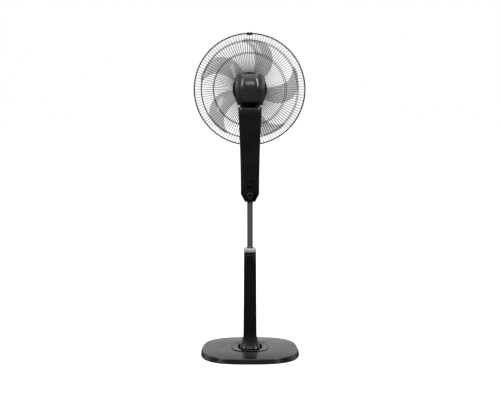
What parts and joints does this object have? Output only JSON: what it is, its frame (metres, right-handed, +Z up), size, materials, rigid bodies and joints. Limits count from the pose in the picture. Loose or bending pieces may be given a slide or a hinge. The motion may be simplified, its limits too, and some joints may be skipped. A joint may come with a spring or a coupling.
{
  "type": "pedestal fan",
  "caption": "Floor-standing fan with wire guards and curved translucent blades on a slim tapered mast, telescopic pole and weighted square-round base.",
  "frame": {"origin": "on the floor, under the axis of the column", "axes": "+Z up along the column; the fan blows towards -Y, so +Y is the rear"},
  "size_m": [0.452, 0.4156, 1.2823],
  "materials": {
    "base_black": "moulded ABS, satin",
    "satin_black": "moulded ABS, satin",
    "housing_black": "moulded ABS, satin",
    "panel_gloss": "polished ABS",
    "smoked_blade": "translucent smoked AS, polished",
    "pole_chrome": "dark chrome plating",
    "collar_metal": "satin anodised",
    "steel": "plain",
    "die_cast": "as cast",
    "ballast_iron": "as cast",
    "rubber": "matt",
    "natural_plastic": "moulded acetal",
    "guard_wire": "black powder coat on steel wire",
    "circuit_board": "solder-masked laminate",
    "display_tint": "dark tinted acrylic"
  },
  "bodies": {
    "base": {"base_cover": "base_black", "base_weight": "ballast_iron", "foot_pad_1": "rubber", "foot_pad_2": "rubber", "foot_pad_3": "rubber", "foot_pad_4": "rubber", "column_washer": "steel", "column_bolt": "steel", "bolt_cover": "rubber", "column_cover": "satin_black", "guide_tube": "steel", "collar": "collar_metal", "guide_bush": "satin_black"},
    "height_latch": {"height_button": "satin_black", "latch_plate": "steel"},
    "mast": {"pole": "pole_chrome", "pole_plug": "natural_plastic", "pole_socket": "satin_black", "mast_rear_shell": "satin_black", "mast_front_shell": "satin_black", "cord_inlet": "satin_black", "control_panel": "panel_gloss", "display_window": "display_tint", "control_board": "circuit_board", "swing_motor": "steel", "swing_bearing": "natural_plastic"},
    "timer_key": {"timer_button": "satin_black"},
    "swing_key": {"swing_button": "satin_black"},
    "mode_key": {"mode_button": "satin_black"},
    "speed_key": {"speed_button": "satin_black"},
    "power_key": {"power_button": "satin_black"},
    "knob": {"clamp_knob": "satin_black", "clamp_screw": "steel"},
    "pinion": {"drive_pinion": "natural_plastic"},
    "neck": {"turntable": "satin_black", "swing_gear": "natural_plastic", "neck_cover": "satin_black", "tilt_bracket": "steel", "tilt_pin": "steel"},
    "head": {"rear_cover_upper": "housing_black", "rear_cover_lower": "housing_black", "front_cover": "housing_black", "motor_stator": "steel", "motor_rear_bell": "die_cast", "motor_front_bell": "die_cast", "rear_bearing": "steel", "front_bearing": "steel", "tilt_lug": "die_cast", "run_capacitor": "natural_plastic", "rear_guard": "guard_wire", "guard_nut": "satin_black", "front_guard": "guard_wire", "guard_badge": "satin_black", "guard_clip_top": "satin_black", "guard_clip_bottom": "satin_black", "clip_screw": "steel"},
    "rotor": {"rotor_core": "steel", "motor_shaft": "steel", "impeller": "smoked_blade", "spinner_nut": "satin_black"}
  },
  "joints": [
    {"name": "height_slide", "type": "slide", "parent": "base", "child": "mast", "axis": [0, 0, 1], "range_m": [-0.17, 0]},
    {"name": "height_button_press", "type": "slide", "parent": "base", "child": "height_latch", "axis": [0, -1, 0], "range_m": [0, 0.003], "stiffness_N_per_m": 600, "springref_m": -0.003},
    {"name": "timer_button_press", "type": "slide", "parent": "mast", "child": "timer_key", "axis": [0, 1, 0], "range_m": [0, 0.001], "stiffness_N_per_m": 800, "springref_m": -0.001},
    {"name": "swing_button_press", "type": "slide", "parent": "mast", "child": "swing_key", "axis": [0, 1, 0], "range_m": [0, 0.001], "stiffness_N_per_m": 800, "springref_m": -0.001},
    {"name": "mode_button_press", "type": "slide", "parent": "mast", "child": "mode_key", "axis": [0, 1, 0], "range_m": [0, 0.001], "stiffness_N_per_m": 800, "springref_m": -0.001},
    {"name": "speed_button_press", "type": "slide", "parent": "mast", "child": "speed_key", "axis": [0, 1, 0], "range_m": [0, 0.001], "stiffness_N_per_m": 800, "springref_m": -0.001},
    {"name": "power_button_press", "type": "slide", "parent": "mast", "child": "power_key", "axis": [0, 1, 0], "range_m": [0, 0.001], "stiffness_N_per_m": 800, "springref_m": -0.001},
    {"name": "clamp_knob_turn", "type": "hinge", "parent": "mast", "child": "knob", "pos_m": [0, 0.02, 0.635], "axis": [0, 1, 0], "range_deg": [0, 360]},
    {"name": "swing", "type": "hinge", "parent": "mast", "child": "neck", "pos_m": [0, 0, 0.98], "axis": [0, 0, 1], "range_deg": [-40, 40]},
    {"name": "pinion_spin", "type": "hinge", "parent": "mast", "child": "pinion", "pos_m": [0.02625, 0, 0.959], "axis": [0, 0, 1], "range_deg": [-130, 130]},
    {"name": "tilt", "type": "hinge", "parent": "neck", "child": "head", "pos_m": [0, 0, 1.001], "axis": [-1, 0, 0], "range_deg": [-10, 15]},
    {"name": "blade_spin", "type": "hinge", "parent": "head", "child": "rotor", "pos_m": [0, -0.05, 1.053], "axis": [0, 1, 0], "continuous": true}
  ],
  "couplings": [
    {"joint": "pinion_spin", "follows": "swing", "ratio": -3.2}
  ]
}
